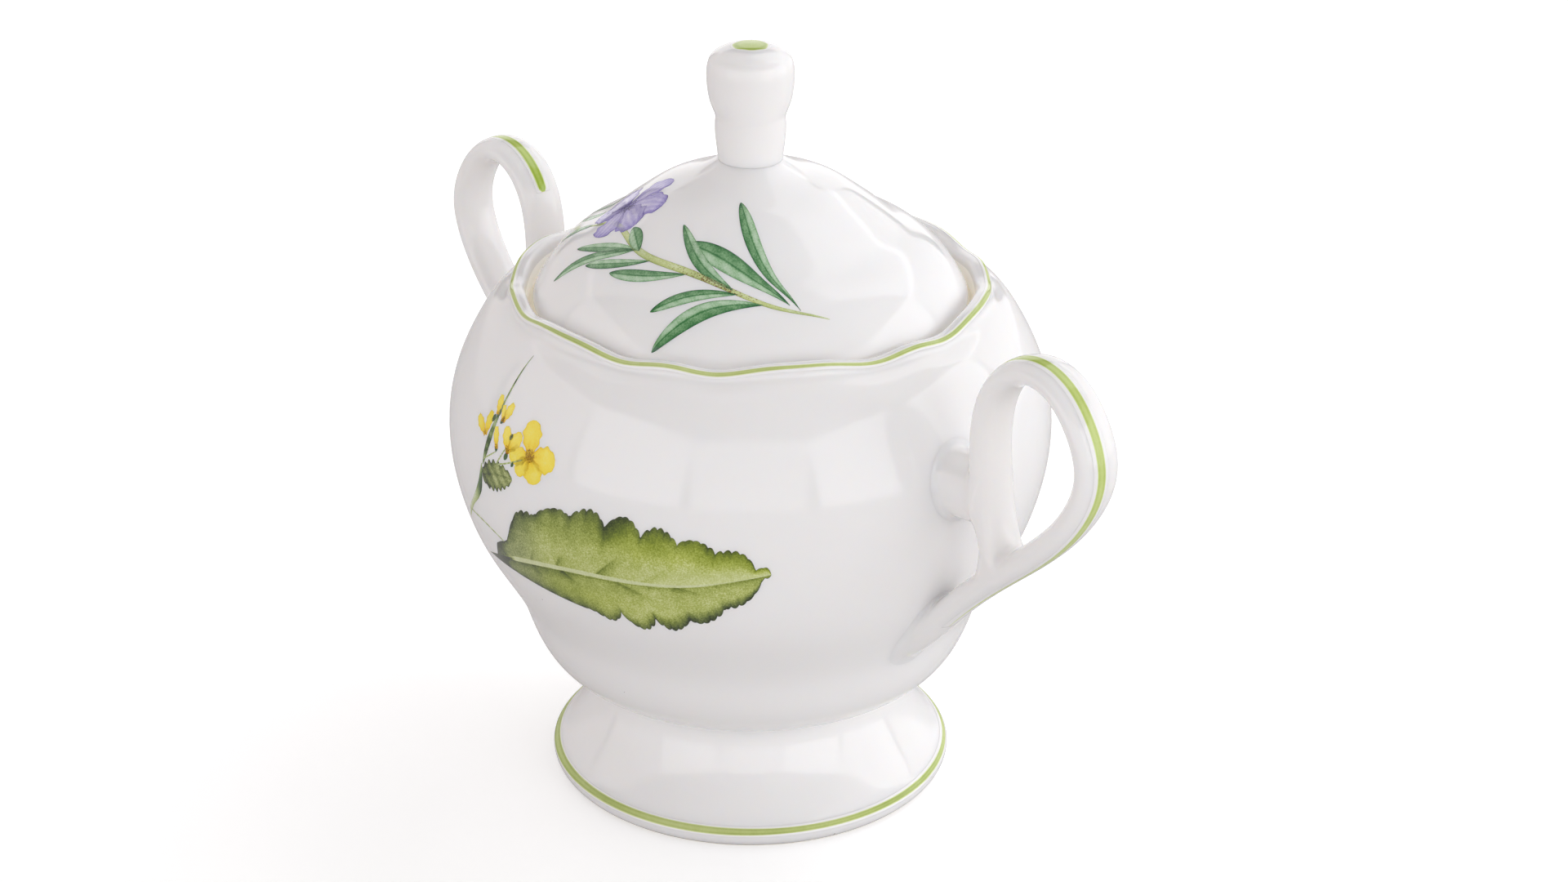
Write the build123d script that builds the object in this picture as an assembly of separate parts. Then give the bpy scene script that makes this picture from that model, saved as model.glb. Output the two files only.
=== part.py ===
from build123d import *
import math
import os

# Covered sugar bowl of bone china: bowl body, foot, two cast handles, lid and knob.
# Millimetres. Z is up from the table, the handles lie along X, and the origin is on the
# table at the centre of the foot ring.

# ---- driving dimensions ----------------------------------------------------------------
wall = 2.8               # china thickness of the bowl and the lid

body_base_z = 18.5       # underside of the bowl, which is also the height of the foot
joint_r = 27.4           # radius of the joint between bowl and foot
body_r = 51.9            # widest radius of the bowl
body_mid_z = 66.3        # height of the widest ring
rim_r = 40.9             # outside radius of the lip
rim_z = 91.4             # mean height of the lip's top
rim_waves = ((6, -0.44), (12, 0.37), (18, 0.18))   # waves round the rim: count, height
lip_fillet = 0.75

throat_r = 38.1          # inner radius of the lip, above the ledge
seat_drop = 4.9          # from the lip's mean height down to the ledge
seat_r = 34.5            # inner radius of the ledge that the lid rests on
seat_thick = 2.4

foot_r = 35.6            # outside radius of the foot
foot_neck_r = 26.2       # narrowest radius of the foot
foot_edge_z = 2.5        # height of the foot's widest ring
foot_ring = 2.6          # width of the ring that stands on the table
foot_wall = 4.0          # thickness of the foot at the joint

lid_clear = 1.2          # from the lid's edge to the lip
lid_gap = 0.25           # between the lid's underside and the ledge
flange_clear = 0.7       # from the lid's locating ring to the ledge
flange_deep = 6.7
flange_wall = 2.4
lid_tall = 25.85         # from the lid's underside to the foot of the knob

knob_foot_r = 5.4
knob_r = 7.3
knob_tall = 19.7

leg_gap = 4.0            # between the bowl's widest ring and a handle's inner leg
loop_wide = 26.9         # from the leg's face to the outermost point of the handle
loop_top_z = 98.4
loop_low_z = 60.0        # height at which the inner leg meets the lower arm
tail_z = 39.7            # height at which the lower tail meets the bowl
strap_wide = 7.8         # handle strap, across the handle's plane
strap_thick = 4.5        # handle strap, in the handle's plane
stub_z = 70.2            # centre of the short bridge from handle to bowl
stub_wide = 8.4
stub_tall = 10.2


# ---- helpers ---------------------------------------------------------------------------
def between(low, high, share):
    return low + share * (high - low)


def offset_points(points, distance):
    """Shift each point of an open (x, z) line to its left by a distance."""
    out = []
    last = len(points) - 1
    for i, (x, z) in enumerate(points):
        x0, z0 = points[max(i - 1, 0)]
        x1, z1 = points[min(i + 1, last)]
        run = math.hypot(x1 - x0, z1 - z0)
        out.append((x - distance * (z1 - z0) / run, z + distance * (x1 - x0) / run))
    return out


def turned(*lines):
    """Solid of revolution about Z from a closed chain of lines drawn in (x, z)."""
    edges = [edge for line in lines for edge in line.edges()]
    return revolve(Plane.XZ * make_face(edges), Axis.Z)


def rim_height(angle):
    """Height of the lip's top at an angle in degrees from a handle."""
    return rim_z + sum(h * math.cos(n * math.radians(angle)) for n, h in rim_waves)


# ---- bowl body -------------------------------------------------------------------------
# Below the widest ring a small lower bulge and the main bulge meet in a soft crease.
lower = [(0.120, 0.008), (0.233, 0.034), (0.335, 0.092), (0.429, 0.178), (0.498, 0.270), (0.541, 0.335),
         (0.598, 0.396), (0.702, 0.487), (0.824, 0.600), (0.931, 0.747), (0.988, 0.885)]
upper = [(0.945, 0.227), (0.800, 0.442), (0.573, 0.649), (0.309, 0.825), (0.125, 0.893)]
outer = ([(between(joint_r, body_r, f), between(body_base_z, body_mid_z, g)) for f, g in lower]
         + [(body_r, body_mid_z)]
         + [(between(rim_r, body_r, f), between(body_mid_z, rim_z, g)) for f, g in upper])


def body_at(z):
    """Outside radius of the bowl at a height."""
    for (r0, z0), (r1, z1) in zip(outer, outer[1:]):
        if z0 <= z <= z1:
            return between(r0, r1, (z - z0) / (z1 - z0))
    return rim_r


wave_room = sum(abs(h) for _, h in rim_waves) + 0.3
lip_z = rim_z - wave_room - 0.6 * lip_fillet    # top of the shoulder, foot of the upright lip
skin = Spline((joint_r, body_base_z), *outer, (rim_r, lip_z))
core = turned(skin, Polyline((rim_r, lip_z), (rim_r, rim_z + wave_room),
                             (0, rim_z + wave_room), (0, body_base_z), (joint_r, body_base_z)))

seat_z = rim_z - seat_drop
floor_z = body_base_z + wall
inside = offset_points(outer, wall)[2:15]
hollow = turned(Line((0, floor_z), (0.80 * joint_r, floor_z)),
                Spline((0.80 * joint_r, floor_z), (joint_r, floor_z + 0.35), *inside),
                Polyline(inside[-1], (seat_r + 1.0, seat_z - seat_thick),
                         (seat_r, seat_z - seat_thick + 0.8), (seat_r, seat_z),
                         (throat_r - 0.6, seat_z), (throat_r, seat_z + 0.6),
                         (throat_r, rim_z + wave_room + 1), (0, rim_z + wave_room + 1),
                         (0, floor_z)))

# The waves are cut with a ring whose lower face runs between two closed wavy lines.
waves = []
for r in (throat_r - 6, rim_r + 6):
    waves.append(Spline([(r * math.cos(math.radians(a)), r * math.sin(math.radians(a)),
                          rim_height(a)) for a in range(0, 360, 3)], periodic=True))
cutter = extrude(Face.make_surface_from_curves(waves[0], waves[1]), 6, dir=(0, 0, 1))
bowl_body = core - hollow - cutter
lip_edges = [e for e in bowl_body.edges() if e.center().Z > rim_z - wave_room
             and e.length > 2 * math.pi * (throat_r - 1)]
bowl_body = fillet(lip_edges, min(lip_fillet, 0.4 * (rim_r - throat_r)))

# ---- foot ------------------------------------------------------------------------------
# A hollow trumpet that flares to a rounded edge and stands on a narrow flat ring.
flare = [(0.0, 0.88), (0.07, 0.67), (0.33, 0.42), (0.66, 0.19), (0.88, 0.066)]
foot_out = [(between(foot_neck_r, foot_r, f), between(foot_edge_z, body_base_z, g))
            for f, g in flare]
stand_r = foot_r - 1.3
ring_in = stand_r - foot_ring
top_in = joint_r - foot_wall
foot_skin = Spline((joint_r, body_base_z), *foot_out, (foot_r, foot_edge_z))
foot_edge = Spline((foot_r, foot_edge_z), (foot_r - 0.35, 0.9), (stand_r, 0))
foot_well = Spline((ring_in, 0), (ring_in - 0.5, 1.2),
                   (between(top_in, ring_in, 0.66), 0.24 * body_base_z),
                   (between(top_in, ring_in, 0.26), 0.50 * body_base_z),
                   (between(top_in, ring_in, 0.04), 0.76 * body_base_z), (top_in, body_base_z))
foot = turned(foot_skin, foot_edge, Line((stand_r, 0), (ring_in, 0)), foot_well,
              Line((top_in, body_base_z), (joint_r, body_base_z)))

# ---- handles ---------------------------------------------------------------------------
# The spine is the strap's outward face, from the tail inside the bowl, up round the outer
# limb, over the top and down the inner leg to the lower arm. The loop's own points are
# shares of its width and height.
leg_x = body_r + leg_gap
loop_tall = loop_top_z - loop_low_z
loop_points = [(0.657, 0.163), (0.896, 0.375), (1.0, 0.610), (0.884, 0.832), (0.675, 0.965),
               (0.455, 1.0), (0.235, 0.945), (0.070, 0.810), (0.0, 0.615), (0.006, 0.400),
               (0.058, 0.193), (0.150, 0.0)]
loop_spine = [(between(leg_x, leg_x + loop_wide, f), between(loop_low_z, loop_top_z, g))
              for f, g in loop_points]
tail_r = body_at(tail_z)
arm = [(tail_r - 6.4, tail_z - 4.0), (tail_r - 0.7, tail_z - 0.6),
       (between(tail_r, loop_spine[0][0], 0.34), between(tail_z, loop_spine[0][1], 0.31)),
       (between(tail_r, loop_spine[0][0], 0.68), between(tail_z, loop_spine[0][1], 0.675))]
middle = Plane.XZ * Spline(offset_points(arm + loop_spine, strap_thick / 2))


def strap(start, end):
    """Elliptical strap swept along a share of the handle's centre line."""
    path = middle.trim(start, end)
    plane = Plane(path @ 0, x_dir=(0, 1, 0), z_dir=path % 0)
    return sweep(plane * Ellipse(strap_wide / 2, strap_thick / 2), path)


def stub_ring(x, more):
    plane = Plane((x, 0, stub_z), x_dir=(0, 1, 0), z_dir=(1, 0, 0))
    return plane * Ellipse(stub_wide / 2 + more, stub_tall / 2 + more)


stub_x = body_at(stub_z)
stub = loft([stub_ring(stub_x - 2.6, 1.3), stub_ring(stub_x + 0.2, 0.5),
             stub_ring(stub_x + 2.2, 0.0), stub_ring(leg_x + 0.55 * strap_thick, 0.0)])
handle = strap(0, 0.84) + strap(0.84, 1) + stub - core

# ---- lid -------------------------------------------------------------------------------
# Two-tier dome: an upper dome and a wider skirt that meet in a soft crease.
lid_r = throat_r - lid_clear
lid_low_z = seat_z + lid_gap
lid_top_z = lid_low_z + lid_tall
tiers = [(0.108, 0.925), (0.212, 0.877), (0.325, 0.821), (0.445, 0.727), (0.546, 0.631),
         (0.639, 0.549), (0.733, 0.482), (0.820, 0.403), (0.903, 0.296), (0.970, 0.167)]
dome = [(between(knob_foot_r, lid_r, f), between(lid_low_z, lid_top_z, g)) for f, g in tiers]
lid_edge_r = lid_r - 1.0
lid_skin = Spline((knob_foot_r, lid_top_z), *dome, (lid_r, lid_low_z + 0.065 * lid_tall),
                  (lid_edge_r, lid_low_z), tangents=((1, -0.75), (-1, -0.35)))
flange_r = seat_r - flange_clear
flange_low_z = lid_low_z - flange_deep
flange_in = flange_r - flange_wall
spring_z = lid_low_z + 0.20 * lid_tall
lid_ceiling = lid_top_z - wall - 0.8
lid_inside = Spline((0, lid_ceiling), *offset_points(dome, -wall)[:8], (flange_in, spring_z),
                    tangents=((1, 0), (0, -1)))
lid = turned(lid_skin,
             Polyline((lid_edge_r, lid_low_z), (flange_r, lid_low_z),
                      (flange_r, flange_low_z + 0.8), (flange_r - 0.8, flange_low_z),
                      (flange_in + 0.6, flange_low_z), (flange_in, flange_low_z + 0.6),
                      (flange_in, spring_z)),
             lid_inside,
             Polyline((0, lid_ceiling), (0, lid_top_z), (knob_foot_r, lid_top_z)))

# ---- knob ------------------------------------------------------------------------------
# A slightly swelling neck below a rounded bulb: shares of the widest extra radius and of
# the height.
bulb = [(0.16, 0.15), (0.24, 0.29), (0.29, 0.385), (0.50, 0.51), (0.81, 0.63), (1.0, 0.76),
        (0.88, 0.875)]
knob_top_z = lid_top_z + knob_tall
knob_points = [(between(knob_foot_r, knob_r, f), lid_top_z + g * knob_tall) for f, g in bulb]
knob_skin = Spline((knob_foot_r, lid_top_z), *knob_points, (0.75 * knob_r, knob_top_z - 0.9),
                   (0.40 * knob_r, knob_top_z - 0.15), (0, knob_top_z),
                   tangents=((0.1, 1), (-1, 0)))
knob = turned(knob_skin,
              Polyline((0, knob_top_z), (0, lid_top_z), (knob_foot_r, lid_top_z)))

# ---- files -----------------------------------------------------------------------------
os.makedirs("parts", exist_ok=True)
parts = {
    "bowl_body": bowl_body,
    "foot": foot,
    "handle_right": handle,
    "handle_left": handle.rotate(Axis.Z, 180),
    "lid": lid,
    "knob": knob,
}
for name, shape in parts.items():
    print(name, len(shape.solids()), round(shape.volume, 1), shape.is_valid)
    export_step(shape.solids()[0], f"parts/{name}.step")
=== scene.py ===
"""A covered sugar bowl of bone china: cast body, foot, two strap handles, lid and knob, with green
lines drawn by hand and printed sprays under the glaze. Shapes below are in millimetres."""
import math

import bpy
import numpy as np
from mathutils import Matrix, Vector


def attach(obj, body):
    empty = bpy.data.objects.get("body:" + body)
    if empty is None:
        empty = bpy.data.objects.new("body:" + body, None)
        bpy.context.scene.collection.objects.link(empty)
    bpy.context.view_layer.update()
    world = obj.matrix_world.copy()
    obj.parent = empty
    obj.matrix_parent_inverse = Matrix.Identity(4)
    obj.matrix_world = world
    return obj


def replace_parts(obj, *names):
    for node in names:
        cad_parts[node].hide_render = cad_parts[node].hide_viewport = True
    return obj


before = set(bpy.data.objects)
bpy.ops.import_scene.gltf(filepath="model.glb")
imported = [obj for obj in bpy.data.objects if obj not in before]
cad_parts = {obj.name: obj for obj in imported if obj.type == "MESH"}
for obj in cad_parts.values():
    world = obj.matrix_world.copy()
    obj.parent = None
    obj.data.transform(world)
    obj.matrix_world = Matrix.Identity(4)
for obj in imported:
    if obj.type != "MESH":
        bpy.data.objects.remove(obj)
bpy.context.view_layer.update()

MM = 0.001

# ---- outlines of the turned parts: (radius, height) ------
BOWL_SIDE = ((27.4, 19.8), (29.3, 20.25), (31.5, 20.95), (34.0, 22.3), (35.8, 23.9), (37.9, 27.1),
             (39.6, 31.4), (40.65, 34.5), (42.05, 37.4), (44.6, 41.8), (47.6, 47.2), (50.2, 54.2),
             (51.6, 60.8), (51.9, 66.3), (51.3, 72.0), (49.7, 77.4), (47.2, 82.6), (44.3, 87.0),
             (42.4, 88.75), (41.25, 89.6))
BOWL_LIP = ((40.95, 90.15), (40.85, 90.7), (40.6, 91.12), (40.1, 91.36), (39.4, 91.42),
            (38.75, 91.3), (38.35, 90.95), (38.18, 90.4), (38.1, 89.5), (38.05, 88.0),
            (37.95, 87.1), (37.5, 86.62), (36.5, 86.5))
BOWL_LEDGE = ((36.5, 86.5), (34.95, 86.5), (34.6, 86.25), (34.5, 85.5), (34.7, 84.7), (35.6, 84.1))
FOOT_SIDE = ((27.4, 19.8), (26.4, 18.2), (26.1, 16.3), (26.9, 13.2), (29.3, 9.2), (32.4, 5.5),
             (34.5, 3.55), (35.6, 2.5), (35.25, 0.9), (34.3, 0.0))
FOOT_WELL = ((31.7, 0.0), (31.2, 1.2), (28.9, 4.4), (25.6, 9.25), (23.7, 14.1), (23.4, 18.5))
LID_SIDE = ((5.4, 112.6), (8.8, 110.7), (12.1, 109.4), (15.6, 108.0), (19.4, 105.5), (22.6, 103.1),
            (25.5, 100.9), (28.5, 99.2), (31.2, 97.2), (33.8, 94.4), (36.0, 91.1), (36.9, 88.4),
            (35.9, 86.75))
LID_FLANGE = ((33.8, 86.75), (33.8, 80.85), (33.55, 80.3), (33.0, 80.05), (32.0, 80.05),
              (31.55, 80.25), (31.4, 80.65), (31.4, 91.9))
KNOB_SIDE = ((5.4, 112.6), (5.6, 114.4), (5.82, 116.2), (5.93, 117.9), (5.9, 119.3), (5.88, 120.2),
             (6.2, 121.2), (6.8, 122.9), (7.15, 124.8), (7.3, 126.8), (7.2, 128.6), (6.55, 130.3),
             (5.2, 131.3), (2.9, 132.05), (0.0, 132.3))
CHINA_WALL = 2.8
BOWL_FLOOR = 21.3
INSIDE_LOW, INSIDE_HIGH = 24.5, 80.5                    # here the inside follows the outside
LEDGE_FOOT = (38.6, 83.55)
BOWL_BED = ((0, 18.5), (24.9, 18.5), (27.4, 19.8))      # below the bowl's floor, on the foot
BOWL_CORNER = ((33.5, 22.9), (30.0, 21.6), (26.0, BOWL_FLOOR + 0.02), (21.0, BOWL_FLOOR))
FOOT_JOINT = ((23.4, 18.5), (24.9, 18.6), (27.4, 19.8))
LID_CEILING = 109.0
DOME_LOW, DOME_NEAR = 94.0, 7.0                         # above and beyond these, so does the lid's
KNOB_PLUG = ((0, 112.3), (5.36, 112.3), (5.4, 112.6))
LIP_WAVES = ((6, -0.44), (12, 0.37), (18, 0.18))        # waves round the lip, and how high
WAVES_START, WAVES_GROW = 87.4, 3.5                     # their lowest height, and how fast they grow

# ---- handles: outward face of the strap in the plane of a handle, from tail to inner leg ---
HANDLE_SPINE = ((39.6, 33.9), (44.4, 38.1), (53.6, 47.9), (63.9, 57.6), (73.6, 66.3), (80.0, 74.4),
                (82.8, 83.4), (79.7, 91.95), (74.1, 97.1), (68.1, 98.4), (62.2, 96.3),
                (57.8, 91.1), (55.9, 83.6), (56.1, 75.4), (57.5, 67.4), (59.9, 60.0))
STRAP_HALF_WIDE = 4.2
STRAP_HALF_THICK = 2.25
STUB_HEIGHT = 71.3
STUB_HALF_WIDE = 4.5
STUB_HALF_TALL = 5.1
STUB_END = 58.4
STUB_FLARE = 57.0                       # nearer the axis than this, the stub widens
STRAP_SCALE, STUB_SCALE = 2.6, 4.4      # turn an oval's measure into about a millimetre
CROTCH, CROTCH_REACH, CROTCH_FILLET = (64.5, 64.0), 8.0, 2.4
ARMPIT, ARMPIT_REACH, ARMPIT_FILLET = (56.0, 59.0), 9.0, 5.0
STUB_FILLET, WALL_FILLET = 1.4, 1.2     # glaze in the corners of strap, stub and bowl
WALL_LEAN = 0.93                        # turns a gap in radius into a gap square to the wall
WALL_SINK = 0.04                        # how far under the glaze a fillet dies out
WALL_TOP = 89.0                         # the wall's fillets stay below this height
BURIED, BURIED_ROUND = 1.7, 1.0         # depth of a handle's hidden end, and its rim's rounding
HANDLE_LOW, HANDLE_HIGH = (37.9, -9.0, 30.0), (84.0, 9.0, 100.0)
HANDLE_STEP, HANDLE_STEP_QUICK = 0.36, 0.5


# ---- lines and surfaces ----------------------------------
def smooth_line(points, count, density=None):
    """A line through the points that bends evenly: a natural cubic in the chord length, found from
    the usual three-term system for its second derivatives. Density gives each span its share."""
    p = np.asarray(points, float)
    h = np.linalg.norm(np.diff(p, axis=0), axis=1)
    t = np.concatenate(([0.0], np.cumsum(h)))
    inner = np.arange(1, len(p) - 1)
    system = np.eye(len(p))
    system[inner, inner - 1] = h[:-1]
    system[inner, inner] = 2 * (h[:-1] + h[1:])
    system[inner, inner + 1] = h[1:]
    slope = np.diff(p, axis=0) / h[:, None]
    pull = np.zeros_like(p)
    pull[1:-1] = 6 * np.diff(slope, axis=0)
    bend = np.linalg.solve(system, pull)
    weight = h if density is None else h * np.asarray(density, float)
    share = np.concatenate(([0.0], np.cumsum(weight)))
    s = np.interp(np.linspace(0, share[-1], count), share, t)
    i = np.clip(np.searchsorted(t, s, side="right") - 1, 0, len(h) - 1)
    b = ((s - t[i]) / h[i])[:, None]
    a = 1 - b
    curve = (a ** 3 - a) * bend[i] + (b ** 3 - b) * bend[i + 1]
    return a * p[i] + b * p[i + 1] + curve * (h[i] ** 2)[:, None] / 6


def straight_line(points, count):
    """Points along a chain of straight spans, evenly spaced."""
    p = np.asarray(points, float)
    t = np.concatenate(([0.0], np.cumsum(np.linalg.norm(np.diff(p, axis=0), axis=1))))
    s = np.linspace(0, t[-1], count)
    return np.stack([np.interp(s, t, p[:, k]) for k in range(p.shape[1])], axis=1)


def joined(*lines):
    """Lines end to end, with each shared end kept once."""
    kept = [lines[0]]
    for line in lines[1:]:
        same = np.linalg.norm(line[0] - kept[-1][-1]) < 1e-6
        kept.append(line[1:] if same else line)
    return np.concatenate(kept)


def left_of(line):
    """The direction square to a line, on its left, at each of its points."""
    step = np.gradient(line, axis=0)
    step /= np.linalg.norm(step, axis=1)[:, None]
    return np.stack((-step[:, 1], step[:, 0]), axis=1)


def shifted(line, distance):
    """Each point moved to the left of the line's direction by a distance."""
    return line + distance * left_of(line)


def ease(x):
    """0 below 0, 1 above 1, and a smooth S between."""
    x = np.clip(x, 0, 1)
    return x * x * (3 - 2 * x)


def hump(x, middle, spread):
    """1 at the middle and falling away evenly on both sides, as a bell."""
    return np.exp(-((x - middle) / spread) ** 2)


def wavy(height, angle):
    """Height with the lip's wave, a sum of cosines that grows in just below the lip."""
    rise = sum(high * np.cos(waves * angle) for waves, high in LIP_WAVES)
    return height + rise * ease((height - WAVES_START) / WAVES_GROW)


def make_piece(name, body, vertices, faces, material, uv=None, marks=None):
    """A mesh object from whole arrays in millimetres, turned outwards if its volume is negative,
    given its finish, and set to ride on its body. A face that names a corner twice in a row
    becomes a triangle."""
    v = np.asarray(vertices, float)
    quads = np.asarray(faces, int)
    a, b, c, d = (v[quads[:, k]] for k in range(4))
    volume = np.einsum("ij,ij->", a, np.cross(b, c)) + np.einsum("ij,ij->", a, np.cross(c, d))
    if volume < 0:
        quads = quads[:, ::-1]
        uv = None if uv is None else uv[:, ::-1]
    short = quads == np.roll(quads, -1, axis=1)
    three = short.any(axis=1)
    keep = np.ones(quads.shape, bool)
    keep[np.nonzero(three)[0], np.argmax(short, axis=1)[three]] = False
    loops = quads[keep]
    sizes = np.where(three, 3, 4)
    starts = np.concatenate(([0], np.cumsum(sizes)[:-1]))
    mesh = bpy.data.meshes.new(name)
    mesh.vertices.add(len(v))
    mesh.vertices.foreach_set("co", (v * MM).astype(np.float32).ravel())
    mesh.loops.add(len(loops))
    mesh.loops.foreach_set("vertex_index", loops.astype(np.int32))
    mesh.polygons.add(len(sizes))
    mesh.polygons.foreach_set("loop_start", starts.astype(np.int32))
    mesh.polygons.foreach_set("use_smooth", np.ones(len(sizes), bool))
    mesh.update(calc_edges=True)
    mesh.validate()
    if uv is not None:
        layer = mesh.uv_layers.new(name="Print")
        layer.data.foreach_set("uv", uv[keep].astype(np.float32).ravel())
    for key, values in (marks or {}).items():
        attribute = mesh.attributes.new(key, "FLOAT", "POINT")
        attribute.data.foreach_set("value", np.asarray(values, np.float32).ravel())
    mesh.materials.append(material)
    piece = bpy.data.objects.new(name, mesh)
    bpy.context.scene.collection.objects.link(piece)
    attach(piece, body)
    return piece


def turned_shape(profile, count, ring=False, wave=False):
    """A profile of (radius, height) turned about Z: each point goes to (r cos a, r sin a, z) at
    count even angles. A ring's profile closes on itself; any other starts and ends on the axis."""
    angle = np.linspace(0, 2 * np.pi, count, endpoint=False)[None, :]
    r, z = profile[:, :1], profile[:, 1:]
    height = wavy(z, angle) if wave else z + 0 * angle
    points = np.stack((r * np.cos(angle), r * np.sin(angle), height), axis=2).reshape(-1, 3)
    index = np.arange(len(profile) * count).reshape(len(profile), count)
    if not ring:
        index[0, :] = index[0, 0]
        index[-1, :] = index[-1, 0]
    below = index if ring else index[:-1]
    above = np.roll(index, -1, axis=0) if ring else index[1:]
    faces = np.stack((below, np.roll(below, -1, axis=1), np.roll(above, -1, axis=1), above), axis=2)
    faces = faces.reshape(-1, 4)
    used, faces = np.unique(faces, return_inverse=True)
    return points[used], faces.reshape(-1, 4)


# ---- colour and finish -----------------------------------
def tone(red, green, blue):
    """A colour given as it looks on a screen, 0 to 255, turned into light."""
    c = np.array((red, green, blue)) / 255
    light = np.where(c <= 0.04045, c / 12.92, ((c + 0.055) / 1.055) ** 2.4)
    return (*light.tolist(), 1.0)


class Nodes:
    """A short way of adding and joining nodes in one tree."""

    def __init__(self, tree):
        self.tree = tree

    def add(self, kind, label="", **values):
        node = self.tree.nodes.new(kind)
        node.label = label
        for key, value in values.items():
            if hasattr(node, key):
                setattr(node, key, value)
            else:
                node.inputs[key.replace("_", " ")].default_value = value
        return node

    def link(self, out, into):
        self.tree.links.new(out, into)

    def math(self, operation, a, b=0.0, clamp=False):
        node = self.add("ShaderNodeMath", operation=operation, use_clamp=clamp)
        for socket, value in zip(node.inputs, (a, b)):
            if isinstance(value, (int, float)):
                socket.default_value = value
            else:
                self.link(value, socket)
        return node.outputs[0]

    def mix(self, share, a, b):
        node = self.add("ShaderNodeMix", data_type="RGBA")
        for socket, value in ((node.inputs[0], share), (node.inputs[6], a), (node.inputs[7], b)):
            if isinstance(value, (int, float, tuple)):
                socket.default_value = value
            else:
                self.link(value, socket)
        return node.outputs[2]

    def ramp(self, share, stops):
        """A row of colours: each stop is a position and a colour as it looks on a screen."""
        node = self.add("ShaderNodeValToRGB")
        ramp = node.color_ramp
        for element, stop in zip(ramp.elements, (stops[0], stops[-1])):
            element.position, element.color = stop[0], tone(*stop[1:])
        for position, *colour in stops[1:-1]:
            ramp.elements.new(position).color = tone(*colour)
        self.link(share, node.inputs[0])
        return node.outputs[0]

    def place(self):
        """Where a point lies on the object, in metres."""
        return self.add("ShaderNodeTexCoord").outputs["Object"]

    def noise(self, label, place, scale, detail, roughness=0.5):
        node = self.add("ShaderNodeTexNoise", label, Scale=scale, Detail=detail, Roughness=roughness)
        self.link(place, node.inputs["Vector"])
        return node.outputs[0]


def new_group(name, inputs, outputs):
    """An empty node group with named numbers in, each with its first value, and out."""
    group = bpy.data.node_groups.new(name, "ShaderNodeTree")
    for way, sockets in (("INPUT", inputs), ("OUTPUT", dict.fromkeys(outputs))):
        for key, start in sockets.items():
            socket = group.interface.new_socket(key, in_out=way, socket_type="NodeSocketFloat")
            if start is not None:
                socket.default_value = start
    n = Nodes(group)
    return group, n, n.add("NodeGroupInput").outputs, n.add("NodeGroupOutput").inputs


GLAZE_GLOSS = 0.10
GLOSS_WANDER = 0.06
PEEL_SHARE = 0.035       # height of the fine peel beside the slow pull of the melt
SPECK_SIZE = 0.016       # in cells of the speck pattern
SPECK_RARITY = 0.60      # a speck shows only where the noise of places is above this
BUMP_DEPTH = 0.00035     # metres
FOOT_BARE = 0.22         # millimetres wiped bare under the foot
SEAT_RADIUS = 38.1       # the lid's seat lies within this radius, and between these heights
SEAT_LOW, SEAT_HIGH = 79.5, 87.2
WIPE_RAGGED = 0.3        # how far the wiped edges wander
BARE_ROUGHNESS = 0.62
PAINTED_LIP_GLOW = 0.16          # painted light: a faint glow on the lip's inner face and the ledge, lightening the shade in the gap by the lid, in place of light that comes through the thin china


def glaze_group():
    """Clear glaze over china. Height is two noises: the slow pull of the melt and a fine orange
    peel. Roughness wanders a little, and Specks is 1 at rare dark kiln specks."""
    group, n, given, out = new_group("fired_glaze", {"Pull": 1.0, "Gloss": 0.08},
                                     ("Height", "Roughness", "Specks", "Tint"))
    place = n.place()
    slow = n.noise("melt", place, 42.0, 1.0, 0.4)
    fine = n.noise("peel", place, 420.0, 2.0)
    cloud = n.noise("clouding", place, 26.0, 2.0)
    places = n.noise("speck places", place, 31.0, 0.0)
    speck = n.add("ShaderNodeTexVoronoi", "specks", Scale=95.0, Randomness=1.0)
    n.link(place, speck.inputs["Vector"])
    height = n.math("ADD", slow, n.math("MULTIPLY", fine, PEEL_SHARE))
    n.link(n.math("MULTIPLY", height, given["Pull"]), out["Height"])
    wander = n.math("MULTIPLY", n.math("SUBTRACT", cloud, 0.5), GLOSS_WANDER)
    n.link(n.math("ADD", wander, given["Gloss"], clamp=True), out["Roughness"])
    near = n.math("LESS_THAN", speck.outputs["Distance"], SPECK_SIZE)
    rare = n.math("GREATER_THAN", places, SPECK_RARITY)
    n.link(n.math("MULTIPLY", near, rare), out["Specks"])
    n.link(cloud, out["Tint"])
    return group


GLAZE = glaze_group()


def china_base(name):
    """The glazed body that every finish starts from: a Principled shader with a little light
    passing under the surface, the glaze's height and gloss, and the place to plug a colour."""
    material = bpy.data.materials.new(name)
    material.use_nodes = True
    n = Nodes(material.node_tree)
    material.node_tree.nodes.clear()
    out = n.add("ShaderNodeOutputMaterial")
    shader = n.add("ShaderNodeBsdfPrincipled", IOR=1.5, Subsurface_Weight=0.3,
                   Subsurface_Radius=(1.0, 0.8, 0.6), Subsurface_Scale=0.003)
    glaze = n.add("ShaderNodeGroup", node_tree=GLAZE, Gloss=GLAZE_GLOSS)
    bump = n.add("ShaderNodeBump", Strength=0.35, Distance=BUMP_DEPTH)
    n.link(glaze.outputs["Height"], bump.inputs["Height"])
    n.link(bump.outputs["Normal"], shader.inputs["Normal"])
    n.link(glaze.outputs["Roughness"], shader.inputs["Roughness"])
    n.link(shader.outputs[0], out.inputs["Surface"])
    return material, n, shader, glaze


def china_colour(n, glaze):
    """White china, very slightly warmer and cooler in clouds, with rare small specks."""
    cloud = n.mix(glaze.outputs["Tint"], tone(246, 244, 243), tone(243, 242, 242))
    return n.mix(glaze.outputs["Specks"], cloud, tone(120, 104, 88))


def glazed_china():
    """White glazed bone china."""
    material, n, shader, glaze = china_base("glazed_bone_china")
    n.link(china_colour(n, glaze), shader.inputs["Base Color"])
    return material


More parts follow.
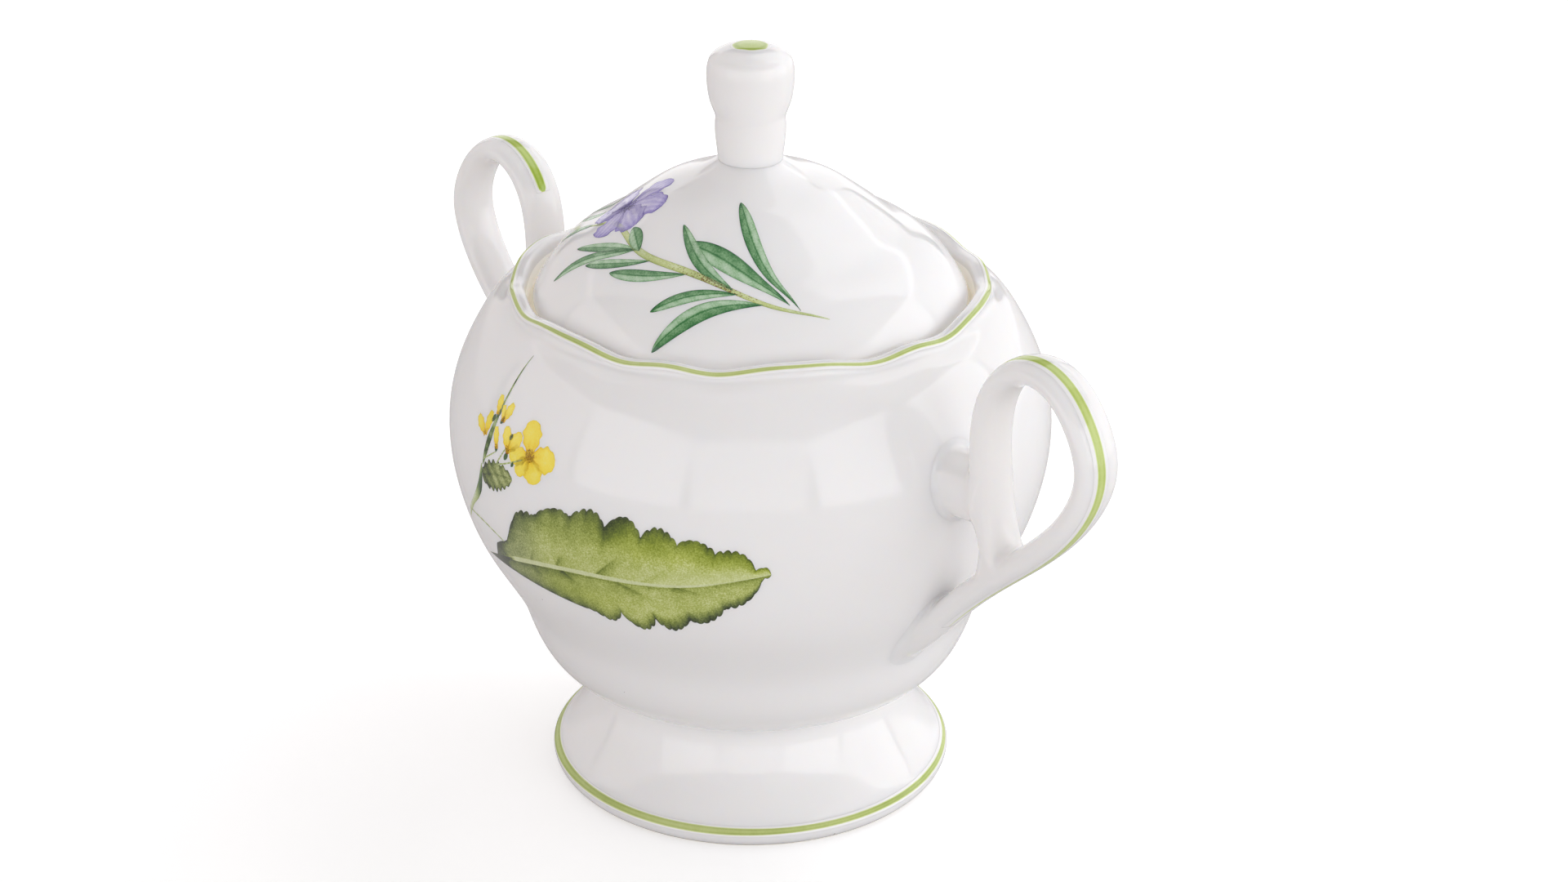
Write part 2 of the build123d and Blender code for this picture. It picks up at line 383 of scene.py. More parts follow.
def standing_china():
    """The bowl and foot: glazed, but wiped bare where the kiln or the lid touches. The bare bands
    are told from height and radius: under the foot ring, and on the ledge. Painted light: the lip's
    inner face and the ledge glow a little, lightening the shade in the gap by the lid, in place of
    light that comes through the thin bone china."""
    material, n, shader, glaze = china_base("china_with_wiped_bands_and_painted_glow")
    place = n.place()
    split = n.add("ShaderNodeSeparateXYZ")
    n.link(place, split.inputs[0])
    grain = n.noise("bare grain", place, 1500.0, 2.0)
    ragged = n.math("MULTIPLY", n.math("SUBTRACT", grain, 0.5), WIPE_RAGGED * MM)
    height = n.math("ADD", split.outputs["Z"], ragged)
    flat = n.add("ShaderNodeVectorMath", operation="MULTIPLY")
    flat.inputs[1].default_value = (1.0, 1.0, 0.0)
    n.link(place, flat.inputs[0])
    radius = n.add("ShaderNodeVectorMath", operation="LENGTH")
    n.link(flat.outputs[0], radius.inputs[0])
    within = n.math("LESS_THAN", radius.outputs["Value"], SEAT_RADIUS * MM)
    seat = n.math("MULTIPLY", within, n.math("GREATER_THAN", height, SEAT_LOW * MM))
    ledge = n.math("MULTIPLY", seat, n.math("LESS_THAN", height, SEAT_HIGH * MM))
    bare = n.math("MAXIMUM", n.math("LESS_THAN", height, FOOT_BARE * MM), ledge)
    clay = n.mix(grain, tone(252, 245, 228), tone(243, 232, 208))
    n.link(n.mix(bare, china_colour(n, glaze), clay), shader.inputs["Base Color"])
    # painted light: the seat glows faintly warm, which lightens the shade on the lip's inner face and
    # the ledge
    n.link(n.mix(seat, tone(0, 0, 0), tone(255, 249, 236)), shader.inputs["Emission Color"])
    shader.inputs["Emission Strength"].default_value = PAINTED_LIP_GLOW
    rough = n.math("MAXIMUM", glaze.outputs["Roughness"], n.math("MULTIPLY", bare, BARE_ROUGHNESS))
    n.link(rough, shader.inputs["Roughness"])
    return material


china = glazed_china()
footed_china = standing_china()

# ---- bowl, foot, lid, knob -------------------------------
SIDE_DENSITY = [1.6] * 4 + [1.0] * 13 + [2.2, 3.5] + [5.0] * 13      # finer at bed and lip


def bowl_profile():
    """From the axis under the bowl, up its side, over the lip and ledge, and down the inside."""
    inner = shifted(smooth_line(BOWL_SIDE, 400), CHINA_WALL)
    inner = inner[(inner[:, 1] > INSIDE_LOW) & (inner[:, 1] < INSIDE_HIGH)][::-6]
    return joined(straight_line(BOWL_BED, 10), smooth_line(BOWL_SIDE + BOWL_LIP, 190, SIDE_DENSITY),
                  smooth_line(BOWL_LEDGE, 14),
                  smooth_line((BOWL_LEDGE[-1], LEDGE_FOOT, inner[0]), 8), inner,
                  smooth_line((inner[-1], *BOWL_CORNER), 26),
                  straight_line((BOWL_CORNER[-1], (0, BOWL_FLOOR)), 6))


def foot_profile():
    """Down the outside, across the bare ring, up the well, and back to the joint."""
    return joined(smooth_line(FOOT_SIDE, 92, [1, 1, 1, 1, 1, 1.2, 2, 4, 4]),
                  straight_line((FOOT_SIDE[-1], FOOT_WELL[0]), 6), smooth_line(FOOT_WELL, 36),
                  straight_line(FOOT_JOINT, 6)[:-1])


def lid_profile():
    """From the axis under the knob, down the dome, round the flange, and up the underside."""
    under = shifted(smooth_line(LID_SIDE[:-1], 300), -CHINA_WALL)
    under = under[(under[:, 1] > DOME_LOW) & (under[:, 0] > DOME_NEAR)][::-6]
    ceiling = smooth_line((LID_FLANGE[-1], *under[::6], (4.0, LID_CEILING - 0.05),
                           (0.0, LID_CEILING)), 60)
    return joined(straight_line(((0, LID_SIDE[0][1]), LID_SIDE[0]), 4),
                  smooth_line(LID_SIDE, 130, [1.4] + [1] * 9 + [2.5, 4]),
                  straight_line((LID_SIDE[-1], LID_FLANGE[0]), 4),
                  straight_line(LID_FLANGE, 40), ceiling)


def knob_profile():
    """From the axis inside the lid's top, out to the foot of the bulb, and over it."""
    return joined(straight_line(KNOB_PLUG, 6), smooth_line(KNOB_SIDE, 110))


bowl = make_piece("bowl", "bowl", *turned_shape(bowl_profile(), 288, wave=True), footed_china)
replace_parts(bowl, "bowl_body")
foot = make_piece("foot_ring", "bowl", *turned_shape(foot_profile(), 256, ring=True), footed_china)
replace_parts(foot, "foot")
lid = make_piece("lid_dome", "lid", *turned_shape(lid_profile(), 288), china)
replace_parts(lid, "lid")
knob = make_piece("knob_bulb", "lid", *turned_shape(knob_profile(), 144), china)
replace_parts(knob, "knob")


# ---- handles ---------------------------------------------
spine = smooth_line(HANDLE_SPINE, 420)
handle_centre = shifted(spine, STRAP_HALF_THICK)
bowl_side_dense = smooth_line(BOWL_SIDE, 900)


def blend_near(a, b, reach):
    """The smaller of two distances, rounded where they are within reach of each other."""
    h = np.maximum(reach - np.abs(a - b), 0) / np.maximum(reach, 1e-9)
    return np.minimum(a, b) - h * h * reach / 4


def line_distance(x, z, line):
    """Distance from each point of a plane to a chain of short spans."""
    a, b = line[:-1], line[1:]
    run = b - a
    size = (run ** 2).sum(1)
    out = np.empty(len(x))
    for part in np.array_split(np.arange(len(x)), max(1, len(x) // 4000)):
        px, pz = x[part, None] - a[:, 0], z[part, None] - a[:, 1]
        t = np.clip((px * run[:, 0] + pz * run[:, 1]) / size, 0, 1)
        out[part] = np.sqrt(((px - t * run[:, 0]) ** 2 + (pz - t * run[:, 1]) ** 2).min(1))
    return out


def near_to(x, z, place, reach):
    """1 about a place in the handle's plane, easing to 0 at reach from it."""
    return ease(1.6 - 1.6 * np.hypot(x - place[0], z - place[1]) / reach)


def handle_depth(x, y, z, outer_limb, inner_leg):
    """Signed distance, near enough, to a handle stuck to the bowl. A limb is an oval tube: its
    in-plane distance over its half thickness and y over its half width make a circle. Limbs, stub
    and bowl flow together where glaze fills the corners, and the bowl's inside is cut away."""
    fillet = CROTCH_FILLET * near_to(x, z, CROTCH, CROTCH_REACH) \
        + ARMPIT_FILLET * near_to(x, z, ARMPIT, ARMPIT_REACH)
    limbs = np.maximum(blend_near(outer_limb, inner_leg, fillet), 0)
    strap = (np.hypot(limbs / STRAP_HALF_THICK, y / STRAP_HALF_WIDE) - 1) * STRAP_SCALE
    flare = 1 + 0.10 * np.clip(STUB_FLARE - x, 0, 9) / 5
    oval = np.hypot(y / (STUB_HALF_WIDE * flare), (z - STUB_HEIGHT) / (STUB_HALF_TALL * flare))
    stub = np.maximum((oval - 1) * STUB_SCALE, x - STUB_END)
    shape = blend_near(strap, stub, STUB_FILLET)
    wall_r = np.interp(z, bowl_side_dense[:, 1], bowl_side_dense[:, 0])
    wall = (np.hypot(x, y) - wall_r) * WALL_LEAN + np.maximum(z - WALL_TOP, 0)
    fused = blend_near(shape, wall + WALL_SINK, WALL_FILLET)
    buried = blend_near(-fused, BURIED - shape, BURIED_ROUND)
    return -blend_near(buried, wall + BURIED, BURIED_ROUND)


def handle_at(points):
    """The handle's depth at loose points."""
    x, y, z = points.T
    return handle_depth(x, y, z, *(line_distance(x, z, line) for line in limb_lines))


def skinned(low, high, step, lines, depth):
    """A closed skin where depth crosses zero on an even block of points: one vertex in each mixed
    cell, at the mean of its edge crossings, and one quad across each crossed block edge. Depth
    takes x, y and z, and the distance in their plane to each of the lines."""
    axes = [np.arange(l, h + step, step) for l, h in zip(low, high)]
    x, z = np.meshgrid(axes[0], axes[2], indexing="ij")
    fields = [line_distance(x.ravel(), z.ravel(), line).reshape(x.shape)[:, None, :]
              for line in lines]
    value = depth(axes[0][:, None, None], axes[1][None, :, None], axes[2][None, None, :], *fields)
    inside = value < 0
    shape = np.array(value.shape) - 1
    total = np.zeros((*shape, 3))
    hits = np.zeros(shape)
    corner = np.stack(np.meshgrid(*[np.arange(s) for s in shape], indexing="ij"), axis=3)
    for axis in range(3):
        a, b = np.delete(value, -1, axis), np.delete(value, 0, axis)
        crossed = (a < 0) != (b < 0)
        share = np.where(crossed, a / np.where(crossed, a - b, 1), 0)
        others = [k for k in range(3) if k != axis]
        for aside in ((0, 0), (0, 1), (1, 0), (1, 1)):
            edges = [slice(None)] * 3
            spot = corner.astype(float)
            for other, far in zip(others, aside):
                edges[other] = slice(far, far + shape[other])
                spot[..., other] += far
            here = crossed[tuple(edges)]
            spot[..., axis] += share[tuple(edges)]
            total += spot * here[..., None]
            hits += here
    mixed = hits > 0
    number = -np.ones(shape, int)
    number[mixed] = np.arange(mixed.sum())
    points = total[mixed] / hits[mixed][:, None] * step + np.array(low)
    faces = []
    unit = np.eye(3, dtype=int)
    for axis in range(3):
        one, two = (axis + 1) % 3, (axis + 2) % 3
        start = np.delete(inside, -1, axis)
        at = np.argwhere(start != np.delete(inside, 0, axis))
        at = at[(at[:, [one, two]] > 0).all(1) & (at[:, [one, two]] < shape[[one, two]]).all(1)]
        cells = (at - unit[one] - unit[two], at - unit[two], at, at - unit[one])
        quad = np.stack([number[tuple(cell.T)] for cell in cells], axis=1)
        inward = ~start[tuple(at.T)]
        quad[inward] = quad[inward][:, ::-1]
        faces.append(quad)
    return points, np.concatenate(faces)


def relaxed(points, faces, depth, rounds, pull=0.6, nudge=0.02, flattest=0.3, farthest=0.4):
    """Each point drawn by pull to the middle of its neighbours and then put back on the zero of
    depth, down the steepest way, so that the skin is even and exact. The slope is found by a
    nudge along each axis, is never taken as less than flattest, and no move beats farthest."""
    pairs = np.concatenate([faces[:, [k, (k + 1) % 4]] for k in range(4)])
    pairs = np.concatenate((pairs, pairs[:, ::-1]))
    count = np.bincount(pairs[:, 0], minlength=len(points))[:, None]
    for _ in range(rounds):
        mean = np.stack([np.bincount(pairs[:, 0], points[pairs[:, 1], k], len(points))
                         for k in range(3)], axis=1) / count
        points = points + pull * (mean - points)
        here = depth(points)
        slope = np.stack([depth(points + nudge * unit) - here for unit in np.eye(3)], axis=1) / nudge
        size = np.maximum((slope ** 2).sum(1), flattest ** 2)
        points = points - slope * np.clip(here / size, -farthest, farthest)[:, None]
    return points


half = len(handle_centre) // 2
limb_lines = handle_centre[:half + 1], handle_centre[half:]
handle_skin, handle_faces = skinned(HANDLE_LOW, HANDLE_HIGH,
                                    HANDLE_STEP,
                                    limb_lines, handle_depth)
handle_skin = relaxed(handle_skin, handle_faces, handle_at, 3)
for name, node, turn in (("right_handle", "handle_right", 1), ("left_handle", "handle_left", -1)):
    spun = handle_skin * np.array((turn, turn, 1))
    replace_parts(make_piece(name, "bowl", spun, handle_faces, china), node)


# ---- prints and painted lines ----------------------------
PRINT_LIFT = 0.03        # how far a print stands above the glaze
PRINT_SINK = 0.30        # how far its hidden underside lies in the wall
THINNEST = 0.04          # half width that a leaf or petal keeps at its ends
BOWL_MARK = -68.0        # degrees: where the middle of the bowl's spray sits, from the right handle
BOWL_ROUND = 50.0        # radius that turns millimetres along the spray into an angle

side_slope = np.gradient(bowl_side_dense[:, 0], bowl_side_dense[:, 1])
lid_dense = smooth_line(LID_SIDE[:-1], 900)
lid_slope = np.gradient(lid_dense[:, 1], lid_dense[:, 0])


def bowl_spot(flat, lift, turn):
    """A flat point (millimetres round the bowl, height) carried onto the bowl's side and lifted
    square to it. Turn is added to the angle, in degrees."""
    along, height = flat[..., 0], flat[..., 1]
    angle = np.radians(BOWL_MARK + turn) + along / BOWL_ROUND
    slope = np.interp(height, bowl_side_dense[:, 1], side_slope)
    size = np.hypot(1, slope)
    r = np.interp(height, bowl_side_dense[:, 1], bowl_side_dense[:, 0]) + lift / size
    z = wavy(height, angle) - lift * slope / size
    return np.stack((r * np.cos(angle), r * np.sin(angle), z), axis=-1)


def lid_spot(flat, lift, turn):
    """A point of the lid's plan carried straight up onto the dome and lifted square to it."""
    angle = np.arctan2(flat[..., 1], flat[..., 0]) + np.radians(turn)
    plan = np.hypot(flat[..., 0], flat[..., 1])
    slope = np.interp(plan, lid_dense[:, 0], lid_slope)
    size = np.hypot(1, slope)
    r = plan - lift * slope / size
    z = np.interp(plan, lid_dense[:, 0], lid_dense[:, 1]) + lift / size
    return np.stack((r * np.cos(angle), r * np.sin(angle), z), axis=-1)


def handle_spot(flat, lift, turn):
    """A point (share of the spine, millimetres across) on the outward face of a handle's oval
    strap: the centre line, plus the oval's depth there along the outward normal."""
    share, across = flat[..., 0], flat[..., 1]
    row = share * (len(spine) - 1)
    steps = np.arange(len(spine))
    centre = [np.interp(row, steps, handle_centre[:, k]) for k in (0, 1)]
    out = spine - handle_centre
    out /= np.linalg.norm(out, axis=1)[:, None]
    normal = [np.interp(row, steps, out[:, k]) for k in (0, 1)]
    deep = STRAP_HALF_THICK * np.sqrt(1 - (across / STRAP_HALF_WIDE) ** 2) + lift
    x, z = centre[0] + normal[0] * deep, centre[1] + normal[1] * deep
    side_on = 1 if turn == 0 else -1
    return np.stack((side_on * x, side_on * across, z), axis=-1)


def thin_shell(flat, spot, turn, marks, sink=PRINT_SINK):
    """A closed skin over a grid of flat points: the grid itself lifted off the glaze, and an
    underside that runs from edge to edge inside the wall. Returns points, faces, uv and marks."""
    rows, columns = flat.shape[:2]
    top = spot(flat, PRINT_LIFT, turn)
    low = spot(flat[:, [-1, 0]], -sink, turn)
    points = np.concatenate((top, low), axis=1)
    wide = columns + 2
    index = np.arange(rows * wide).reshape(rows, wide)
    ahead = np.roll(index, -1, axis=1)
    walls = np.stack((index[:-1], ahead[:-1], ahead[1:], index[1:]), axis=2).reshape(-1, 4)
    caps = []
    for row in (0, -1):
        ring, far = index[row], index[row, 1:columns - 1]
        fan = np.stack((np.full(columns - 2, ring[-1]), ring[:columns - 2], far, far), axis=1)
        last = np.array([[ring[-1], ring[columns - 2], ring[columns - 1], ring[columns]]])
        both = np.concatenate((fan, last))
        caps.append(both if row else both[:, ::-1])
    faces = np.concatenate([walls] + caps)
    s = np.repeat(np.linspace(0, 1, rows)[:, None], wide, axis=1)
    t = np.concatenate((np.linspace(0, 1, columns), (1.0, 0.0)))[None, :] + 0 * s
    uv = np.stack((s, t), axis=2).reshape(-1, 2)
    full = {key: np.concatenate((value, value[:, [-1, 0]]), axis=1).ravel()
            for key, value in marks.items()}
    return points.reshape(-1, 3), faces, uv[faces], full


def put_down(name, body, shells, material):
    """Several thin shells of one finish as one piece."""
    counts = np.concatenate(([0], np.cumsum([len(s[0]) for s in shells])[:-1]))
    points = np.concatenate([s[0] for s in shells])
    faces = np.concatenate([s[1] + c for s, c in zip(shells, counts)])
    uv = np.concatenate([s[2] for s in shells])
    marks = {key: np.concatenate([s[3][key] for s in shells]) for key in shells[0][3]}
    return make_piece(name, body, points, faces, material, uv, marks)


def ribbon(centre, width, columns):
    """A flat grid that reaches width to each side of a centre line, and its two parameters: s
    from root to tip, and t from -1 to 1 across."""
    s = np.linspace(0, 1, len(centre))[:, None]
    t = np.linspace(-1, 1, columns)[None, :]
    grid = centre[:, None, :] + left_of(centre)[:, None, :] * (width[:, None] * t)[..., None]
    return grid, s + 0 * t, t + 0 * s


def blade(points, half, belly, blunt, size, wave=0.0, waves=0, thin=THINNEST):
    """A leaf or petal: a centre line through the points, and half its width equal to
    half * sin(pi * s^p)^blunt, where p puts the widest place at belly, with an edge that goes in
    and out by wave, and never less than thin."""
    s = np.linspace(0, 1, size[0])
    p = math.log(0.5) / math.log(belly)
    width = half * np.sin(np.pi * np.clip(s, 0.0005, 0.9995) ** p) ** blunt
    width = np.maximum(width * (1 + wave * np.sin(2 * np.pi * waves * s)), thin)
    return ribbon(smooth_line(points, size[0]), width, size[1])


def strand(points, halves, size=(70, 5)):
    """A stem or hair: a centre line through the points, and half widths that run evenly between
    the given ones."""
    width = np.interp(np.linspace(0, 1, size[0]), np.linspace(0, 1, len(halves)), halves)
    return ribbon(smooth_line(points, size[0]), width, size[1])


# ---- print finishes --------------------------------------
def stipple_group():
    """Printed colour is laid down in fine dots. Depth goes in; it comes out with dots of two
    sizes added where there is some colour, and none where there is none."""
    group, n, given, out = new_group("print_stipple", {"Depth": 0.5, "Coarse": 0.3, "Fine": 0.3},
                                     ("Depth", "Dots"))
    place = n.place()
    coarse = n.noise("wash", place, 520.0, 3.0, 0.6)
    fine = n.noise("dots", place, 3600.0, 2.0, 0.6)
    a = n.math("MULTIPLY", n.math("SUBTRACT", coarse, 0.5), given["Coarse"])
    b = n.math("MULTIPLY", n.math("SUBTRACT", fine, 0.5), given["Fine"])
    here = n.math("MULTIPLY", given["Depth"], 4.0, clamp=True)
    grain = n.math("MULTIPLY", n.math("ADD", a, b), here)
    n.link(n.math("ADD", given["Depth"], grain, clamp=True), out["Depth"])
    n.link(fine, out["Dots"])
    return group


STIPPLE = stipple_group()
PRINT_SUBSURFACE = 0.05                 # less than the china's, so that a print's edge stays crisp
SPOT_LEVEL, SPOT_GAIN = 0.78, 0.30      # dots above this level are spots; Mark lowers it
SPOT_EDGE, COVER_EDGE = 14.0, 9.0       # how steeply a spot, and the whole print, fade at the edge


def print_finish(name, first, second, coarse, fine, specks=None):
    """A print under the glaze. The piece's own Depth picks a colour from a row of colours that
    starts at bare china, its Hue slides from the first row to the second, and specks are small
    dots of one more colour where Mark is high."""
    material, n, shader, glaze = china_base(name)
    shader.inputs["Subsurface Weight"].default_value = PRINT_SUBSURFACE
    white = china_colour(n, glaze)
    depth, hue = (n.add("ShaderNodeAttribute", attribute_name=key).outputs["Fac"]
                  for key in ("Depth", "Hue"))
    stipple = n.add("ShaderNodeGroup", node_tree=STIPPLE, Coarse=coarse, Fine=fine)
    n.link(depth, stipple.inputs["Depth"])
    inked = stipple.outputs["Depth"]
    colour = n.mix(hue, n.ramp(inked, first), n.ramp(inked, second))
    if specks:
        mark = n.add("ShaderNodeAttribute", attribute_name="Mark").outputs["Fac"]
        level = n.math("SUBTRACT", SPOT_LEVEL, n.math("MULTIPLY", mark, SPOT_GAIN))
        above = n.math("SUBTRACT", stipple.outputs["Dots"], level)
        spot = n.math("MULTIPLY", above, SPOT_EDGE, clamp=True)
        colour = n.mix(spot, colour, specks)
    cover = n.math("MULTIPLY", depth, COVER_EDGE, clamp=True)
    n.link(n.mix(cover, white, colour), shader.inputs["Base Color"])
    return material


leaf_print = print_finish(
    "leaf_print",
    [(0.0, 218, 224, 188), (0.25, 176, 184, 122), (0.5, 122, 134, 76),
     (0.75, 82, 94, 56), (1.0, 50, 58, 38)],
    [(0.0, 222, 228, 160), (0.25, 184, 194, 88), (0.5, 142, 156, 44),
     (0.75, 104, 120, 28), (1.0, 64, 78, 24)], 0.34, 0.75)
sprig_print = print_finish(
    "sprig_leaf_print",
    [(0.0, 206, 226, 204), (0.3, 144, 188, 146), (0.6, 78, 134, 88),
     (0.85, 44, 104, 66), (1.0, 28, 76, 50)],
    [(0.0, 208, 226, 200), (0.3, 156, 190, 138), (0.6, 98, 146, 86),
     (0.85, 64, 118, 66), (1.0, 36, 82, 48)], 0.25, 0.6)
stem_print = print_finish(
    "stem_print",
    [(0.0, 232, 238, 212), (0.35, 206, 216, 150), (0.7, 172, 186, 104),
     (1.0, 96, 120, 56)],
    [(0.0, 220, 228, 206), (0.35, 150, 172, 112), (0.7, 92, 122, 72),
     (1.0, 48, 72, 44)], 0.3, 0.6, specks=tone(128, 96, 58))
yellow_print = print_finish(
    "yellow_petal_print",
    [(0.0, 254, 246, 170), (0.3, 254, 236, 96), (0.6, 252, 222, 50),
     (0.85, 242, 196, 24), (1.0, 218, 160, 16)],
    [(0.0, 253, 243, 160), (0.3, 252, 228, 80), (0.6, 246, 206, 38),
     (0.85, 228, 170, 16), (1.0, 188, 120, 10)], 0.3, 0.3, specks=tone(176, 104, 10))
lilac_print = print_finish(
    "lilac_petal_print",
    [(0.0, 224, 220, 240), (0.3, 188, 182, 226), (0.6, 146, 138, 204),
     (0.85, 108, 98, 178), (1.0, 74, 66, 146)],
    [(0.0, 226, 218, 240), (0.3, 196, 182, 228), (0.6, 160, 140, 206),
     (0.85, 122, 98, 178), (1.0, 84, 66, 140)], 0.3, 0.5, specks=tone(78, 70, 110))
line_paint = print_finish(
    "green_line_paint",
    [(0.0, 236, 240, 214), (0.35, 216, 224, 170), (0.7, 194, 205, 132),
     (1.0, 164, 178, 100)],
    [(0.0, 234, 240, 204), (0.35, 212, 226, 144), (0.7, 190, 211, 106),
     (1.0, 158, 186, 62)], 0.25, 0.16)


# ---- painted lines ---------------------------------------
def soft_line(across, half, soft):
    """Depth of a brush line: full inside its half width, gone over a soft edge, and a little
    heavier near both edges, where paint gathers."""
    body = ease((half - np.abs(across)) / soft)
    return body * (0.72 + 0.28 * hump(np.abs(across) / half, 0.72, 0.3))


def line_round(name, outline, at, reach, half_at, wave=False, count=720, columns=15):
    """A line painted round a turned part: the stretch of the outline within reach of a point,
    lifted off the glaze, closed by an underside in the wall, and turned about Z. half_at gives
    the line's half width at each angle."""
    step = np.linalg.norm(np.diff(outline, axis=0), axis=1)
    along = np.concatenate(([0.0], np.cumsum(step)))
    start = np.argmin(np.hypot(outline[:, 0] - at[0], outline[:, 1] - at[1]))
    across = np.linspace(-reach, reach, columns)
    row = np.stack([np.interp(along[start] + across, along, outline[:, k]) for k in (0, 1)], axis=1)
    ring = np.concatenate((shifted(row, -PRINT_LIFT), shifted(row, PRINT_SINK)[[-1, 0]]))
    points, faces = turned_shape(ring, count, ring=True, wave=wave)
    angle = np.linspace(0, 2 * np.pi, count, endpoint=False)[None, :]
    places = np.concatenate((across, [reach, -reach]))[:, None]
    depth = soft_line(places, half_at(angle), 0.22)
    depth = depth * (1 + 0.10 * np.sin(3 * angle + 1) + 0.08 * np.sin(7 * angle))
    hue = 0.15 + 0.15 * np.sin(2 * angle + 0.6) + 0 * places
    marks = {"Depth": np.clip(depth, 0, 1).ravel(), "Hue": np.clip(hue, 0, 1).ravel()}
    make_piece(name, "bowl", points, faces, line_paint, None, marks)


LIP_LINE, FOOT_LINE = (40.5, 91.2), (35.05, 3.05)       # where on the outlines the lines run
line_round("lip_line", smooth_line(BOWL_SIDE + BOWL_LIP, 6000), LIP_LINE, 0.85,
           lambda a: 0.42 + 0.05 * np.sin(4 * a) + 0.03 * np.sin(9 * a + 2), wave=True)
line_round("foot_line", smooth_line(FOOT_SIDE, 6000)[::-1], FOOT_LINE, 1.0,
           lambda a: 0.58 + 0.14 * np.cos(a + 1.9) + 0.04 * np.sin(5 * a))

# a handle's line: shares of the spine where it starts and ends, then what it does along itself,
# as shares of the line and values there
STROKE_START, STROKE_END = 0.765, 0.12
STROKE_ROUND = 0.014                    # the round start takes this share
STROKE_HALF_GRID = 1.45
STROKE_HALVES = (0, 0.05, 0.2, 0.6, 0.85, 1), (0.86, 0.95, 0.82, 0.78, 0.55, 0.2)
STROKE_DEPTHS = (0, 0.1, 0.3, 0.8, 1), (1.2, 1.0, 0.8, 0.72, 0.2)
STROKE_HUES = (0, 0.15, 1), (1, 0.6, 0.4)


def handle_stroke():
    """A handle's line as a flat grid (share of the spine, millimetres across) and its marks: round
    at the start, and thinner and fainter to its end."""
    across = np.linspace(-STROKE_HALF_GRID, STROKE_HALF_GRID, 19)
    share = np.linspace(0.0, 1.0, 420)
    stroke = STROKE_START + (STROKE_END - STROKE_START) * share
    flat = np.stack((stroke[:, None] + 0 * across, across + 0 * stroke[:, None]), axis=2)
    rounded = np.sqrt(np.clip(1 - ((STROKE_ROUND - share) / STROKE_ROUND) ** 2, 0, 1))
    half = np.interp(share, *STROKE_HALVES)
    half = half * np.where(share < STROKE_ROUND, np.maximum(rounded, 0.02), 1)
    depth = soft_line(across[None, :], half[:, None], 0.24)
    depth = depth * np.interp(share, *STROKE_DEPTHS)[:, None]
    hue = np.interp(share, *STROKE_HUES)[:, None] + 0 * depth
    return flat, {"Depth": np.clip(depth, 0, 1), "Hue": hue}


stroke_flat, stroke_marks = handle_stroke()
for name, turn, aside in (("right_handle_line", 0, -1.0), ("left_handle_line", 180, 0.3)):
    put_down(name, "bowl", [thin_shell(stroke_flat + np.array((0.0, aside)), handle_spot, turn,
                                       stroke_marks)], line_paint)

DOT_REACH, DOT_EDGE = 3.4, 3.0          # radius of the dot's skin, and of its painted part


def knob_dot():
    """The dot on top of the knob: the bulb's cap, lifted off the glaze and closed below, with an
    edge that wanders a little."""
    outline = smooth_line(KNOB_SIDE, 2000)[::-1]
    cap = outline[outline[:, 0] < DOT_REACH][::8]
    under = cap[-1, 1] - PRINT_SINK
    profile = np.concatenate((cap + np.array((0, PRINT_LIFT)), [[cap[-1, 0], under], [0.0, under]]))
    profile[0, 0] = 0.0
    points, faces = turned_shape(profile, 120)
    r, angle = np.hypot(points[:, 0], points[:, 1]), np.arctan2(points[:, 1], points[:, 0])
    edge = DOT_EDGE + 0.10 * np.sin(3 * angle + 1) + 0.06 * np.sin(7 * angle)
    depth = ease((edge - r) / 0.3) * (0.75 + 0.2 * hump(r, 2.4, 0.4))
    make_piece("knob_dot", "lid", points, faces, line_paint, None, {"Depth": depth, "Hue": 0.6 + 0 * r})


knob_dot()


# ---- the big leaf on the bowl ----------------------------
LEAF_RIB = ((-32, 50), (-20, 54), (-5, 57), (12, 58), (27, 61))
LEAF_ABOVE, LEAF_BELOW = 11.5, 9.0      # greatest reach of the blade above and below its rib
LEAF_LEAN = 0.18                        # how far the blade's sides lean towards the tip
LOBES, LOBE_TALL = 9, 2.4
TEETH, TOOTH_TALL = 46, 0.5
LEAF_VEINS = ((-16, 2, 4, 0.16), (-10, 2.5, 4, 0.38), (-2, 5, 5, 0.46), (6, 5, 4, 0.14),
              (-16, 4, -3, 0.16), (-9, 4, -2.5, 0.34), (1, 8, -3, 0.34), (11, 6, -1, 0.30))


def leaf_reach(s, greatest, swell, fullness, lobes_from, shift):
    """How far the blade reaches from its rib at share s: greatest * sin(pi * s^swell)^fullness,
    plus round lobes |sin|, uneven in size, and small teeth that stand on them."""
    whole = greatest * np.sin(np.pi * np.clip(s, 0, 1) ** swell) ** fullness
    paced = s + 0.012 * np.sin(9 * s + shift)
    lobe = np.abs(np.sin(np.pi * (LOBES * paced + shift))) ** 0.7 - 0.7
    lobe = LOBE_TALL * (0.85 + 0.35 * np.sin(13 * s + shift)) * lobe
    tooth = np.abs(np.sin(np.pi * TEETH * paced)) ** 0.8 - 0.6
    tooth = TOOTH_TALL * (0.8 + 0.4 * np.sin(31 * s)) * tooth
    cut = ease((s - lobes_from) / 0.10) * ease((1 - s) / 0.03)
    return np.maximum(whole + (lobe + tooth) * cut, 0.02)


def mark_along(flat, start, run, width):
    """A soft dark stroke from start over run: dark on the line, fading on one side only over
    width, and thinning to nothing at its end."""
    size = np.hypot(*run)
    x = ((flat - start) @ run) / size
    y = (flat[..., 0] - start[0]) * run[1] / size - (flat[..., 1] - start[1]) * run[0] / size
    lengthwise = ease(x / (0.15 * size)) * ease((1.05 * size - x) / (0.8 * size))
    return lengthwise * np.where(y > 0, np.exp(-y / width), np.exp(y / 0.12))


